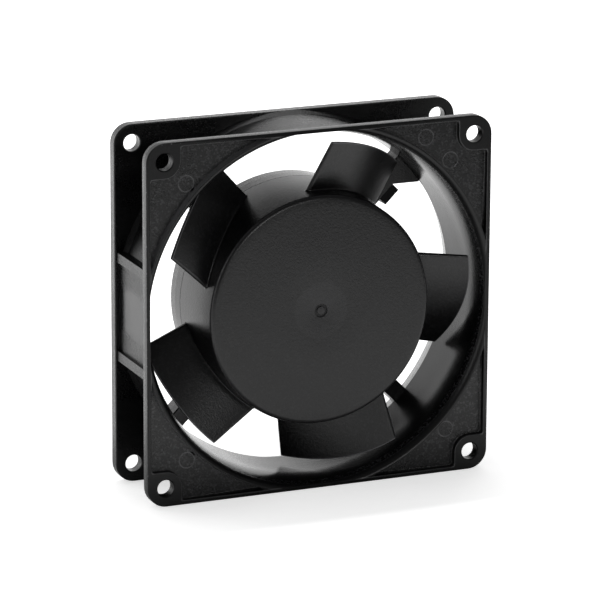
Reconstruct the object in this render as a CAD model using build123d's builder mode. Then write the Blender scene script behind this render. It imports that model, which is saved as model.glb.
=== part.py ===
from build123d import *
from math import asin, cos, degrees, radians, sin, sqrt
import os

os.makedirs("parts", exist_ok=True)

# Axial cooling fan. Sizes are in millimetres. The fan stands on two edges of its
# frame: X is to the right, Z is up, and air enters at the front, which faces -Y.
# Depths are measured backwards from the front of the frame.

# Frame outline and mounting holes
frame_width = 92.0
frame_depth = 25.4
flange_thickness = 3.05
corner_radius = 5.0
edge_rounding = 0.35
hole_inset = 4.75
hole_diameter = 4.3
hole_chamfer = 0.25

# Air passage
side_wall = 2.4
tip_clearance = 1.5
throat_draft = 0.4
throat_depth = 4.5
lip_width = 2.7
lip_land = 0.2
bead_slope = 0.7
exit_start = 20.4
exit_flare = 1.4
tube_wall = 1.7
cove_height = 0.65
cove_length = 2.0

# Front face
rim_width = 1.1
pocket_depth = 1.6
pad_radius = 4.2
pad_root_radius = 1.0
pocket_root_radius = 0.25
pin_mark_radius = 2.1
pin_mark_groove = 0.2
pin_mark_depth = 0.12
pin_mark_inset = 10.9
upper_mark_left = 17.3
upper_mark_drop = 4.9
insert_radius = 2.0
insert_depth = 0.25
insert_inset_x = 10.6
insert_inset_y = 11.2
insert_bar_width = 0.6

# Ribs and flat panels on the left and right of the tube
rib_reach = 0.75
rib_height = 2.5
panel_height = 22.8
panel_wall = 1.1

# Motor base, struts and bearing tube
base_height = 6.2
base_gap = 0.6
base_wall = 1.5
base_floor = 1.8
strut_count = 4
strut_angle = 45.0
strut_width = 4.3
strut_depth = 5.7
strut_edge_radius = 0.3
strut_end_cover = 0.1
bearing_tube_wall = 2.0
bearing_shoulder = 1.1

# Wire channel in the upper right strut, and the pocket of the terminal block
channel_width = 2.4
channel_depth = 3.7
channel_overrun = 1.84
gusset_margin = 0.4
gusset_groove = 0.4
gusset_groove_depth = 0.6
gusset_groove_run = 1.0
pocket_skin = 1.2
block_inset = 16.4
block_neck_rise = 0.7
block_neck_height = 4.9
block_head_inset = 8.4
block_head_drop = 15.65
block_head_height = 9.0
block_head_length = 2.6
block_setback = 0.2

# Spade terminals
spade_width = 2.8
spade_thickness = 0.5
spade_pitch = 5.0
spade_inset = 0.2
spade_grip = 2.0
spade_hole_radius = 0.65
spade_chamfer = 0.6

# Leads and the cover of their channel
lead_radius = 0.55
lead_pitch = 1.2
lead_bend_radius = 1.6
lead_clearance = 0.1
lead_drop = 3.95
cover_thickness = 1.2
cover_base_gap = 0.4
cover_block_gap = 0.05
lug_gap = 0.2
lug_length = 5.0
lug_reach = 2.35
lug_front = 20.2

# Hub of the impeller
hub_radius = 29.2
hub_draft = 0.8
hub_edge_radius = 1.2
hub_wall = 1.2
hub_face = 1.6
hub_lip = 0.6
gate_ring_radius = 1.7
gate_pin_radius = 1.0
gate_depth = 0.35

# Blades: tangential and depth places of the front of the blade, at two stations out
# from the axis. Lead is the edge at the front, trail the edge at the back, whose
# depth is given as what is left between it and the back of the hub.
blade_count = 5
blade_angle = 67.5
blade_root_station = 27.6
blade_tip_station = 40.2
blade_root_lead = (12.3, 4.6)
blade_root_middle = (0.6, 8.5)
blade_root_trail = (-11.0, 2.9)
blade_tip_lead = (12.2, 2.0)
blade_tip_middle = (-0.4, 6.8)
blade_tip_trail = (-12.9, 2.6)
blade_root_thickness = 1.5
blade_tip_thickness = 1.1
blade_overrun = 3.0

# Rotor
cup_sheet = 0.8
cup_corner_radius = 0.6
rotor_core_width = 5.15
air_gap = 0.3
bar_count = 20
bar_width = 1.6
bar_depth = 2.4
bar_cover = 0.9
end_ring_height = 1.6
end_ring_margin = 0.5
bush_flange_radius = 4.6
bush_flange_height = 0.8
bush_body_radius = 3.6
bush_length = 2.6
bush_neck_radius = 2.6
shaft_radius = 2.0
shaft_chamfer = 0.3
shaft_inset = 0.15
groove_depth = 0.4

# Bearings, shims, spring and clip
bearing_radius = 4.5
bearing_width = 4.0
bearing_ring = 0.75
ball_radius = 0.7
ball_count = 7
ball_clearance = 0.05
shield_thickness = 0.2
shield_gap = 0.1
shim_thickness = 0.3
shim_radius = 2.6
spring_height = 0.5
spring_width = 0.8
clip_thickness = 0.5
clip_radius = 3.4
clip_opening = 1.6
shaft_overhang = 0.5
cap_gap = 0.4
cap_thickness = 0.9
cap_skirt = 0.35

# Stator
pole_count = 4
pole_angle = 45.0
pole_neck = 8.0
pole_span = 76.0
pole_shoe = 3.4
shading_start = 17.3
shading_slot = 1.4
shading_radial = 1.6
shading_overhang = 0.8
insulator_plate = 0.8
insulator_wall = 0.7
insulator_fit = 0.1
coil_height = 2.6
coil_length = 5.35
coil_side = 3.4
coil_clearance = 1.1
coil_corner_radius = 2.5
base_insulator_thickness = 0.3
base_insulator_margin = 1.0

# Radii and half sizes that follow from the values above
half_width = frame_width / 2
hole_place = half_width - hole_inset
hole_radius = hole_diameter / 2
bore_radius = half_width - side_wall
tip_radius = bore_radius - tip_clearance
throat_radius = bore_radius + throat_draft
lip_radius = throat_radius + lip_width
bead_radius = lip_radius + lip_land
bead_foot = bead_radius + bead_slope
exit_radius = bore_radius + exit_flare
tube_radius = bore_radius + tube_wall
rim_inside = half_width - rim_width
panel_face = bore_radius + panel_wall
rib_face = panel_face + rib_reach
hub_back_radius = hub_radius + hub_draft
cup_radius = hub_radius - hub_wall
cup_inside = cup_radius - cup_sheet
rotor_inside = cup_inside - rotor_core_width
stator_radius = rotor_inside - air_gap
bearing_tube_radius = bearing_radius + bearing_tube_wall
shoulder_radius = bearing_radius - bearing_shoulder
inner_ring_radius = shaft_radius + bearing_ring
outer_ring_inside = bearing_radius - bearing_ring
ball_pitch_radius = (inner_ring_radius + outer_ring_inside) / 2
shoe_inside = stator_radius - pole_shoe
neck_cover = pole_neck + 2 * insulator_fit
coil_half_width = neck_cover / 2 + coil_side
coil_last = sqrt(shoe_inside**2 - coil_half_width**2) - insulator_wall
coil_first = coil_last - coil_length
pole_root = coil_first - insulator_wall

# Depths that follow from the values above
rear_flange_depth = frame_depth - flange_thickness
base_depth = frame_depth - base_height
hub_depth = base_depth - base_gap
floor_depth = frame_depth - base_floor
strut_front = frame_depth - strut_depth
cup_front = hub_face
cup_inner_front = cup_front + cup_sheet
cup_back = hub_depth - hub_lip
lead_depth = floor_depth - base_insulator_thickness - lead_radius - lead_clearance
coil_front = cup_inner_front + coil_clearance
coil_back = lead_depth - lead_drop
stack_front = coil_front + coil_height + insulator_plate
stack_back = coil_back - coil_height - insulator_plate
stator_height = stack_back - stack_front
bush_back = cup_inner_front + bush_length
bearing_tube_front = bush_back
front_bearing_front = bearing_tube_front + shim_thickness
front_bearing_back = front_bearing_front + bearing_width
front_shoulder = front_bearing_back + spring_height
cap_front = frame_depth - cap_thickness
shaft_back = cap_front - cap_gap
clip_back = shaft_back - shaft_overhang
clip_front = clip_back - clip_thickness
rear_bearing_back = clip_front - shim_thickness
rear_bearing_front = rear_bearing_back - bearing_width
channel_front = frame_depth - channel_depth
notch_front = frame_depth - cover_thickness
pocket_front = strut_front + pocket_skin
block_back = frame_depth - block_setback
strut_reach = tube_radius - strut_end_cover
block_left = half_width - block_inset
block_head_left = half_width - block_head_inset
block_head_right = block_head_left + block_head_length
block_head_low = hole_place - block_head_drop
block_head_high = block_head_low + block_head_height
block_low = block_head_low + block_neck_rise
block_high = block_low + block_neck_height
gusset_low = block_head_low - gusset_margin

# Places of the marks in the pockets
pin_mark_place = half_width - pin_mark_inset
upper_mark_place = (half_width - upper_mark_left, half_width - upper_mark_drop)
insert_place = (half_width - insert_inset_x, half_width - insert_inset_y)

# The front plane's x is to the right, its y is up and its normal is towards the
# viewer. On the turning plane x is a radius and y is a depth.
front_plane = Plane(origin=(0, -frame_depth / 2, 0), x_dir=(1, 0, 0), z_dir=(0, -1, 0))
turning_plane = Plane(origin=(0, -frame_depth / 2, 0), x_dir=(1, 0, 0), z_dir=(0, 0, 1))
fan_axis = Axis.Y
diagonal = cos(radians(strut_angle))

# Places along the upper right strut, from the fan's axis
channel_start = hub_back_radius - base_wall
channel_end = block_left / diagonal + channel_overrun
cover_start = channel_start + cover_base_gap
cover_end = (block_left - cover_block_gap) / diagonal - channel_width / 2
gusset_start = sqrt(2) * gusset_low + strut_width / 2
lug_end = gusset_start - lug_gap
lug_start = lug_end - lug_length
lug_outside = -strut_width / 2 - lug_reach
gusset_first_angle = degrees(asin(gusset_low / bore_radius)) - gusset_groove_run
gusset_last_angle = strut_angle + degrees(asin(strut_width / 2 / bore_radius))

# On this plane x runs out along the upper right strut and y is across it.
along_strut = Plane(
    origin=(0, -frame_depth / 2, 0),
    x_dir=(diagonal, 0, diagonal),
    z_dir=(0, -1, 0),
)


def behind(depth):
    return front_plane.offset(-depth)


def radial_plane(angle, radius):
    """Plane square to a radius: its x is tangential and its y is towards the front."""
    out = (cos(radians(angle)), 0, sin(radians(angle)))
    along = (-sin(radians(angle)), 0, cos(radians(angle)))
    place = (radius * out[0], -frame_depth / 2, radius * out[2])
    return Plane(origin=place, x_dir=along, z_dir=out)


def band(inner, outer, first_depth, last_depth, mode=Mode.ADD):
    """Rectangle of a turned profile, between two radii and two depths."""
    with Locations(((inner + outer) / 2, (first_depth + last_depth) / 2)):
        Rectangle(outer - inner, last_depth - first_depth, mode=mode)


def block(left, right, low, high, mode=Mode.ADD):
    """Rectangle between two sides and two heights."""
    with Locations(((left + right) / 2, (low + high) / 2)):
        Rectangle(right - left, high - low, mode=mode)


def sector(inner, outer, first_angle, last_angle):
    """Part of a ring, between two radii and two angles."""
    with BuildSketch(mode=Mode.PRIVATE) as ring_part:
        with BuildLine():
            outside = CenterArc((0, 0), outer, first_angle, last_angle - first_angle)
            inside = CenterArc((0, 0), inner, first_angle, last_angle - first_angle)
            Line(outside @ 0, inside @ 0)
            Line(outside @ 1, inside @ 1)
        make_face()
    add(ring_part.sketch)


def save(piece, label):
    piece.part.label = label
    export_step(piece.part, f"parts/{label}.step")


# Waste outside the sloped side of the bead, as far as the rim
with BuildPart() as bead_waste:
    with BuildSketch(turning_plane):
        with BuildLine():
            Polyline((bead_radius, 0), (bead_foot, pocket_depth), (bead_foot, 0), close=True)
        make_face()
    revolve(axis=fan_axis)
    with BuildSketch(behind(0)):
        Rectangle(2 * rim_inside, 2 * rim_inside)
    extrude(amount=-pocket_depth, mode=Mode.INTERSECT)

# Die-cast frame: flanges, tube, bell mouth, motor base, struts and bearing tube
with BuildPart() as frame_housing:
    with BuildSketch(behind(0), behind(rear_flange_depth)):
        RectangleRounded(frame_width, frame_width, corner_radius)
    extrude(amount=-flange_thickness)
    fillet(frame_housing.edges().filter_by(Axis.Y, reverse=True), edge_rounding)

    # Tube with a cove where it meets the rear flange
    with BuildSketch(turning_plane):
        with BuildLine():
            Polyline(
                (0, flange_thickness),
                (tube_radius, flange_thickness),
                (tube_radius, rear_flange_depth - cove_length),
                (tube_radius + cove_height, rear_flange_depth),
                (0, rear_flange_depth),
                close=True,
            )
        make_face()
    revolve(axis=fan_axis)

    # Two ribs on each side of the tube, with a flat panel between them
    with BuildSketch(behind(flange_thickness)):
        with Locations((-rib_face / 2, 0), (rib_face / 2, 0)):
            Rectangle(rib_face, panel_height + 2 * rib_height)
    extrude(amount=flange_thickness - rear_flange_depth)
    with BuildSketch(behind(flange_thickness)):
        block(panel_face, half_width, -panel_height / 2, panel_height / 2)
        block(-half_width, -panel_face, -panel_height / 2, panel_height / 2)
    extrude(amount=flange_thickness - rear_flange_depth, mode=Mode.SUBTRACT)

    # Air passage: rounded lip, throat with a slight draft, and flared exit
    with BuildSketch(turning_plane):
        with BuildLine():
            EllipticalCenterArc(
                (lip_radius, throat_depth), lip_width, throat_depth, 180, arc_size=90
            )
            Polyline(
                (throat_radius, throat_depth),
                (bore_radius, exit_start),
                (exit_radius, frame_depth),
                (0, frame_depth),
                (0, 0),
                (lip_radius, 0),
            )
        make_face()
    revolve(axis=fan_axis, mode=Mode.SUBTRACT)

    # Front face sunk between the rim, the bead of the lip and the pads of the holes
    with BuildSketch(behind(0)) as face_pockets:
        RectangleRounded(2 * rim_inside, 2 * rim_inside, corner_radius - rim_width)
        Circle(bead_foot, mode=Mode.SUBTRACT)
        with GridLocations(2 * hole_place, 2 * hole_place, 2, 2):
            Circle(pad_radius, mode=Mode.SUBTRACT)
        for side_x in (-1, 1):
            for side_y in (-1, 1):
                outward_x = side_x * (hole_place + half_width) / 2
                outward_y = side_y * (hole_place + half_width) / 2
                with Locations((outward_x, side_y * hole_place)):
                    Rectangle(half_width - hole_place, 2 * pad_radius, mode=Mode.SUBTRACT)
                with Locations((side_x * hole_place, outward_y)):
                    Rectangle(2 * pad_radius, half_width - hole_place, mode=Mode.SUBTRACT)
        pad_side = hole_place - pad_radius
        pad_roots = face_pockets.vertices().filter_by(
            lambda v: abs(min(abs(v.X), abs(v.Y)) - pad_side) < 0.01
            and abs(max(abs(v.X), abs(v.Y)) - rim_inside) < 0.01
        )
        fillet(pad_roots, pad_root_radius)
    extrude(amount=-pocket_depth, mode=Mode.SUBTRACT)

    # Walls of the pads and of the rim are rounded at the top and at the foot
    pad_walls = frame_housing.faces().filter_by(
        lambda f: f.center().Y < pocket_depth - frame_depth / 2
        and abs(f.bounding_box().size.Y - pocket_depth) < 0.01
        and f.bounding_box().size.X + f.bounding_box().size.Z < 4 * pad_radius
    )
    pad_edges = pad_walls.edges().filter_by(
        lambda e: abs(e.end_point().Y - e.start_point().Y) < 0.01
    )
    fillet(pad_edges, pocket_root_radius)
    add(bead_waste.part, mode=Mode.SUBTRACT)

    # Rim that runs on across the opening at the middle of each side
    with BuildSketch(behind(edge_rounding)):
        RectangleRounded(frame_width, frame_width, corner_radius)
        RectangleRounded(
            2 * rim_inside, 2 * rim_inside, corner_radius - rim_width, mode=Mode.SUBTRACT
        )
    extrude(amount=edge_rounding - pocket_depth)

    # Ring marks of the ejector pins, and the round seat of a die insert with its bar
    with BuildSketch(behind(pocket_depth)):
        with Locations(
            (-pin_mark_place, pin_mark_place), (-pin_mark_place, -pin_mark_place),
            (pin_mark_place, -pin_mark_place), upper_mark_place,
        ):
            Circle(pin_mark_radius)
            Circle(pin_mark_radius - pin_mark_groove, mode=Mode.SUBTRACT)
    extrude(amount=-pin_mark_depth, mode=Mode.SUBTRACT)
    with BuildSketch(behind(pocket_depth)):
        with Locations(insert_place):
            Circle(insert_radius)
            Rectangle(2 * insert_radius, insert_bar_width, rotation=-strut_angle, mode=Mode.SUBTRACT)
    extrude(amount=-insert_depth, mode=Mode.SUBTRACT)

    # Motor base and struts
    with BuildSketch(behind(strut_front)):
        with PolarLocations(strut_reach / 2, strut_count, start_angle=strut_angle):
            Rectangle(strut_reach, strut_width)
        with BuildSketch(mode=Mode.PRIVATE) as gusset:
            with BuildLine():
                Polyline(
                    (gusset_low, gusset_low),
                    (half_width, gusset_low),
                    (half_width, half_width),
                    close=True,
                )
            make_face()
            Circle(strut_reach, mode=Mode.INTERSECT)
        add(gusset.sketch)
    extrude(amount=-strut_depth)
    strut_edges = frame_housing.edges().filter_by(GeomType.LINE).filter_by(
        lambda e: abs(e.start_point().Y + frame_depth / 2 - strut_front) < 0.01
        and abs(e.end_point().Y + frame_depth / 2 - strut_front) < 0.01
        and abs(abs(e.tangent_at(0).X) - diagonal) < 0.01
        and e.length > hub_back_radius
    )
    fillet(strut_edges, strut_edge_radius)
    with BuildSketch(behind(base_depth)):
        Circle(hub_back_radius)
    extrude(amount=base_depth - frame_depth)
    with BuildSketch(behind(base_depth)):
        Circle(hub_back_radius - base_wall)
    extrude(amount=base_depth - floor_depth, mode=Mode.SUBTRACT)

    # Bearing tube with a seat at each end
    with BuildSketch(behind(bearing_tube_front)):
        Circle(bearing_tube_radius)
    extrude(amount=bearing_tube_front - frame_depth)
    with BuildSketch(turning_plane):
        band(0, bearing_radius, bearing_tube_front, front_shoulder)
        band(0, shoulder_radius, bearing_tube_front, frame_depth)
        band(0, bearing_radius, rear_bearing_front, frame_depth)
    revolve(axis=fan_axis, mode=Mode.SUBTRACT)

    # Wire channel, pocket and notch for the terminal block
    with BuildSketch(along_strut.offset(-channel_front)):
        block(channel_start, channel_end, -channel_width / 2, channel_width / 2)
    extrude(amount=-channel_depth, mode=Mode.SUBTRACT)
    with BuildSketch(behind(pocket_front)):
        block(block_left, block_head_left, block_low, block_high)
        block(block_head_left, half_width, block_head_low, block_head_high)
    extrude(amount=pocket_front - frame_depth, mode=Mode.SUBTRACT)

    # Notch in the side of that strut for the lug of the channel's cover
    with BuildSketch(along_strut.offset(-notch_front)):
        block(lug_start, lug_end, lug_outside, -channel_width / 2)
    extrude(amount=notch_front - frame_depth, mode=Mode.SUBTRACT)
    with BuildSketch(along_strut.offset(-lug_front)):
        block(lug_start, lug_end, lug_outside, -strut_width / 2)
    extrude(amount=lug_front - frame_depth, mode=Mode.SUBTRACT)

    # Groove between the gusset of that strut and the wall of the tube
    with BuildSketch(behind(strut_front)):
        sector(
            bore_radius - gusset_groove, bore_radius + gusset_groove,
            gusset_first_angle, gusset_last_angle,
        )
    extrude(amount=-gusset_groove_depth, mode=Mode.SUBTRACT)

    # Mounting holes
    with Locations(front_plane):
        with GridLocations(2 * hole_place, 2 * hole_place, 2, 2):
            Hole(hole_radius, depth=frame_depth)
    hole_edges = frame_housing.edges().filter_by(GeomType.CIRCLE).filter_by(
        lambda e: abs(e.radius - hole_radius) < 0.001 and abs(e.center().X) > bore_radius / 2
    )
    chamfer(hole_edges, hole_chamfer)
save(frame_housing, "frame_housing")

# One blade, drawn about the fan's axis with its front up
blade_sections = []
blade_root_back = (blade_root_trail[0], hub_depth - blade_root_trail[1])
blade_tip_back = (blade_tip_trail[0], hub_depth - blade_tip_trail[1])
for station in (blade_root_station - blade_overrun, blade_tip_station + blade_overrun):
    share = (station - blade_root_station) / (blade_tip_station - blade_root_station)
    thickness = blade_root_thickness + share * (blade_tip_thickness - blade_root_thickness)
    places = []
    for root, tip in (
        (blade_root_lead, blade_tip_lead),
        (blade_root_middle, blade_tip_middle),
        (blade_root_back, blade_tip_back),
    ):
        across = root[0] + share * (tip[0] - root[0])
        deep = root[1] + share * (tip[1] - root[1])
        places.append((across, -deep - thickness / 2))
    blade_sections.append((station, thickness, ThreePointArc(*places)))

with BuildPart() as blade:
    for station, thickness, centre_line in blade_sections:
        station_plane = Plane(origin=(station, 0, 0), x_dir=(0, 1, 0), z_dir=(1, 0, 0))
        with BuildSketch(station_plane):
            SlotArc(centre_line, thickness)
    loft(ruled=True)
    with BuildSketch(Plane.XY.offset(-hub_depth)):
        Circle(tip_radius)
        Circle(hub_radius - hub_wall / 2, mode=Mode.SUBTRACT)
    extrude(amount=hub_depth, mode=Mode.INTERSECT)

# Impeller: hub open at the back, with its blades
with BuildPart() as impeller:
    with BuildSketch(turning_plane):
        with BuildLine():
            Polyline(
                (0, 0),
                (hub_radius, 0),
                (hub_back_radius, hub_depth),
                (cup_radius + hub_lip, hub_depth),
                (cup_radius, cup_back),
                (cup_radius, hub_face),
                (0, hub_face),
                close=True,
            )
        make_face()
    revolve(axis=fan_axis)
    fillet(impeller.edges().group_by(fan_axis)[0], hub_edge_radius)
    with BuildSketch(behind(0)):
        Circle(gate_ring_radius)
        Circle(gate_pin_radius, mode=Mode.SUBTRACT)
    extrude(amount=-gate_depth, mode=Mode.SUBTRACT)
    with Locations(front_plane):
        with PolarLocations(0, blade_count, start_angle=blade_angle):
            add(blade.part)
save(impeller, "impeller")

# Drawn steel cup that lines the hub
with BuildPart() as rotor_cup:
    with BuildSketch(turning_plane):
        band(bush_body_radius, cup_radius, cup_front, cup_inner_front)
        band(cup_inside, cup_radius, cup_front, cup_back)
    revolve(axis=fan_axis)
    inner_corner = rotor_cup.edges().filter_by(GeomType.CIRCLE).filter_by(
        lambda e: abs(e.radius - cup_inside) < 0.01
    )
    fillet(inner_corner.sort_by(fan_axis)[0], cup_corner_radius)
save(rotor_cup, "rotor_cup")

# Ring of rotor laminations with the slots of the bars
bar_place = rotor_inside + bar_cover + bar_depth / 2
with BuildPart() as rotor_core:
    with BuildSketch(behind(stack_front)):
        Circle(cup_inside)
        Circle(rotor_inside, mode=Mode.SUBTRACT)
        with PolarLocations(bar_place, bar_count):
            Rectangle(bar_depth, bar_width, mode=Mode.SUBTRACT)
    extrude(amount=-stator_height)
save(rotor_core, "rotor_core")

# Cast cage: bars and the two end rings that join them
with BuildPart() as squirrel_cage:
    with BuildSketch(behind(stack_front)):
        with PolarLocations(bar_place, bar_count):
            Rectangle(bar_depth, bar_width)
    extrude(amount=-stator_height)
    for ring_front in (stack_front - end_ring_height, stack_back):
        with BuildSketch(behind(ring_front)):
            Circle(cup_inside - end_ring_margin)
            Circle(rotor_inside + end_ring_margin, mode=Mode.SUBTRACT)
        extrude(amount=-end_ring_height)
save(squirrel_cage, "squirrel_cage")

# Bush that fixes the shaft in the cup, and the shaft with its groove
with BuildPart() as shaft_bush:
    with BuildSketch(turning_plane):
        band(shaft_radius, bush_body_radius, cup_front, bush_back - shim_thickness)
        band(
            shaft_radius, bush_flange_radius, cup_inner_front,
            cup_inner_front + bush_flange_height,
        )
        band(shaft_radius, bush_neck_radius, cup_front, bush_back)
    revolve(axis=fan_axis)
save(shaft_bush, "shaft_bush")

with BuildPart() as shaft:
    with BuildSketch(turning_plane):
        band(0, shaft_radius, cup_front + shaft_inset, shaft_back)
        band(
            shaft_radius - groove_depth, shaft_radius, clip_front, clip_back,
            mode=Mode.SUBTRACT,
        )
    revolve(axis=fan_axis)
    ends = shaft.edges().filter_by(GeomType.CIRCLE).sort_by(fan_axis)
    chamfer((ends[0], ends[-1]), shaft_chamfer)
save(shaft, "shaft")

# Two shielded ball bearings
for bearing_name, bearing_front in (
    ("front", front_bearing_front),
    ("rear", rear_bearing_front),
):
    bearing_back = bearing_front + bearing_width
    bearing_middle = bearing_front + bearing_width / 2
    groove_radius = ball_radius + ball_clearance

    with BuildPart() as outer_ring:
        with BuildSketch(turning_plane):
            band(outer_ring_inside, bearing_radius, bearing_front, bearing_back)
            with Locations((ball_pitch_radius, bearing_middle)):
                Circle(groove_radius, mode=Mode.SUBTRACT)
        revolve(axis=fan_axis)
    save(outer_ring, f"{bearing_name}_bearing_outer_ring")

    with BuildPart() as inner_ring:
        with BuildSketch(turning_plane):
            band(shaft_radius, inner_ring_radius, bearing_front, bearing_back)
            with Locations((ball_pitch_radius, bearing_middle)):
                Circle(groove_radius, mode=Mode.SUBTRACT)
        revolve(axis=fan_axis)
    save(inner_ring, f"{bearing_name}_bearing_inner_ring")

    with BuildPart() as balls:
        with Locations(behind(bearing_middle)):
            with PolarLocations(ball_pitch_radius, ball_count):
                Sphere(ball_radius)
    save(balls, f"{bearing_name}_bearing_balls")

    with BuildPart() as shields:
        with BuildSketch(turning_plane):
            shield_inside = inner_ring_radius + shield_gap
            band(
                shield_inside, outer_ring_inside,
                bearing_front, bearing_front + shield_thickness,
            )
            band(
                shield_inside, outer_ring_inside,
                bearing_back - shield_thickness, bearing_back,
            )
        revolve(axis=fan_axis)
    save(shields, f"{bearing_name}_bearing_shields")

# Shims against the inner rings
for shim_name, shim_front, shim_back in (
    ("front_shim", bush_back, front_bearing_front),
    ("rear_shim", rear_bearing_back, clip_front),
):
    with BuildPart() as shim:
        with BuildSketch(turning_plane):
            band(shaft_radius, shim_radius, shim_front, shim_back)
        revolve(axis=fan_axis)
    save(shim, shim_name)

# Preload spring between the shoulder and the front bearing
with BuildPart() as preload_spring:
    with BuildSketch(turning_plane):
        band(
            bearing_radius - spring_width, bearing_radius,
            front_bearing_back, front_shoulder,
        )
    revolve(axis=fan_axis)
save(preload_spring, "preload_spring")

# Open clip in the shaft's groove
with BuildPart() as retaining_clip:
    with BuildSketch(behind(clip_front)):
        Circle(clip_radius)
        Circle(shaft_radius - groove_depth, mode=Mode.SUBTRACT)
        block(0, clip_radius, -clip_opening / 2, clip_opening / 2, mode=Mode.SUBTRACT)
    extrude(amount=-clip_thickness)
save(retaining_clip, "retaining_clip")

# Plug that closes the back of the bearing tube
with BuildPart() as bearing_cap:
    with BuildSketch(turning_plane):
        band(0, bearing_radius, cap_front, frame_depth)
        band(bearing_radius - cap_skirt, bearing_radius, rear_bearing_back, frame_depth)
    revolve(axis=fan_axis)
save(bearing_cap, "bearing_cap")

# Stator laminations: a ring on the bearing tube, four necks and four pole shoes
shading_middle = (shoe_inside + stator_radius) / 2
with BuildPart() as stator_core:
    with BuildSketch(behind(stack_front)):
        Circle(pole_root)
        with PolarLocations((pole_root + shoe_inside) / 2, pole_count, start_angle=pole_angle):
            Rectangle(shoe_inside - bearing_tube_radius, pole_neck)
        for pole in range(pole_count):
            middle_angle = pole_angle + pole * 360 / pole_count
            sector(
                shoe_inside, stator_radius,
                middle_angle - pole_span / 2, middle_angle + pole_span / 2,
            )
        Circle(bearing_tube_radius, mode=Mode.SUBTRACT)
    extrude(amount=-stator_height)
    with BuildSketch(behind(stack_front)):
        for pole in range(pole_count):
            slot_angle = pole_angle + pole * 360 / pole_count + shading_start
            sector(
                shading_middle - shading_radial / 2, stator_radius + air_gap / 2,
                slot_angle, slot_angle + shading_slot * 2,
            )
    extrude(amount=-stator_height, mode=Mode.SUBTRACT)
save(stator_core, "stator_core")

# Copper ring round the tip of each pole shoe
for pole in range(pole_count):
    middle_angle = pole_angle + pole * 360 / pole_count
    slot_angle = middle_angle + shading_start
    shoe_end = middle_angle + pole_span / 2
    with BuildPart() as shading_ring:
        with BuildSketch(behind(stack_front - shading_overhang)):
            sector(
                shading_middle - shading_radial / 2, shading_middle + shading_radial / 2,
                slot_angle, shoe_end + shading_slot * 2,
            )
        extrude(amount=-stator_height - 2 * shading_overhang)
        with BuildSketch(behind(stack_front)):
            sector(
                shading_middle - shading_radial, shading_middle + shading_radial,
                slot_angle + shading_slot * 2, shoe_end,
            )
        extrude(amount=-stator_height, mode=Mode.SUBTRACT)
    save(shading_ring, f"shading_ring_{pole + 1}")

# Plastic end pieces: a spider on the stack with walls that keep the coils in place
for insulator_name, plate_front, wall_front in (
    ("front_insulator", stack_front - insulator_plate, coil_front),
    ("rear_insulator", stack_back, stack_back + insulator_plate),
):
    with BuildPart() as insulator:
        with BuildSketch(behind(plate_front)):
            Circle(pole_root)
            with PolarLocations(shoe_inside / 2, pole_count, start_angle=pole_angle):
                Rectangle(shoe_inside, neck_cover)
            Circle(bearing_tube_radius, mode=Mode.SUBTRACT)
        extrude(amount=-insulator_plate)
        with BuildSketch(behind(wall_front)):
            Circle(pole_root)
            Circle(pole_root - insulator_wall, mode=Mode.SUBTRACT)
            with PolarLocations(
                coil_last + insulator_wall / 2, pole_count, start_angle=pole_angle
            ):
                Rectangle(insulator_wall, 2 * coil_half_width)
            Circle(bearing_tube_radius, mode=Mode.SUBTRACT)
        extrude(amount=-coil_height)
    save(insulator, insulator_name)

# Coils, one round each neck
for pole in range(pole_count):
    middle_angle = pole_angle + pole * 360 / pole_count
    stack_middle = (stack_front + stack_back) / 2
    inner_height = stator_height + 2 * insulator_plate
    with BuildPart() as coil:
        with BuildSketch(radial_plane(middle_angle, coil_first)):
            with Locations((0, -stack_middle)):
                RectangleRounded(
                    2 * coil_half_width, inner_height + 2 * coil_height,
                    coil_corner_radius,
                )
                Rectangle(neck_cover, inner_height, mode=Mode.SUBTRACT)
        extrude(amount=coil_last - coil_first)
    save(coil, f"coil_{pole + 1}")

# Insulating disc on the floor of the motor base
with BuildPart() as base_insulator:
    with BuildSketch(behind(floor_depth - base_insulator_thickness)):
        Circle(hub_back_radius - base_wall - base_insulator_margin)
        Circle(bearing_tube_radius, mode=Mode.SUBTRACT)
    extrude(amount=-base_insulator_thickness)
save(base_insulator, "base_insulator")

# Terminal block: a neck through the wall of the tube and a head outside it
spade_depth = (pocket_front + block_back) / 2
spade_first = block_head_right - spade_grip
with BuildPart() as terminal_block:
    with BuildSketch(behind(pocket_front)):
        block(block_left, block_head_left, block_low, block_high)
        block(block_head_left, block_head_right, block_head_low, block_head_high)
    extrude(amount=pocket_front - block_back)
    with BuildSketch(behind(spade_depth - spade_thickness / 2)):
        for side in (-1, 1):
            middle = (block_head_low + block_head_high) / 2 + side * spade_pitch / 2
            block(
                spade_first, block_head_right,
                middle - spade_width / 2, middle + spade_width / 2,
            )
    extrude(amount=-spade_thickness, mode=Mode.SUBTRACT)
save(terminal_block, "terminal_block")

# Two flat terminals that point to the right
for index, side in enumerate((-1, 1)):
    middle = (block_head_low + block_head_high) / 2 + side * spade_pitch / 2
    spade_end = half_width - spade_inset
    with BuildPart() as spade:
        with BuildSketch(behind(spade_depth - spade_thickness / 2)) as outline:
            block(spade_first, spade_end, middle - spade_width / 2, middle + spade_width / 2)
            chamfer(outline.vertices().group_by(Axis.X)[-1], spade_chamfer)
            with Locations(((block_head_right + spade_end) / 2, middle)):
                Circle(spade_hole_radius, mode=Mode.SUBTRACT)
        extrude(amount=-spade_thickness)
    save(spade, f"spade_terminal_{index + 1}")

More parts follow.
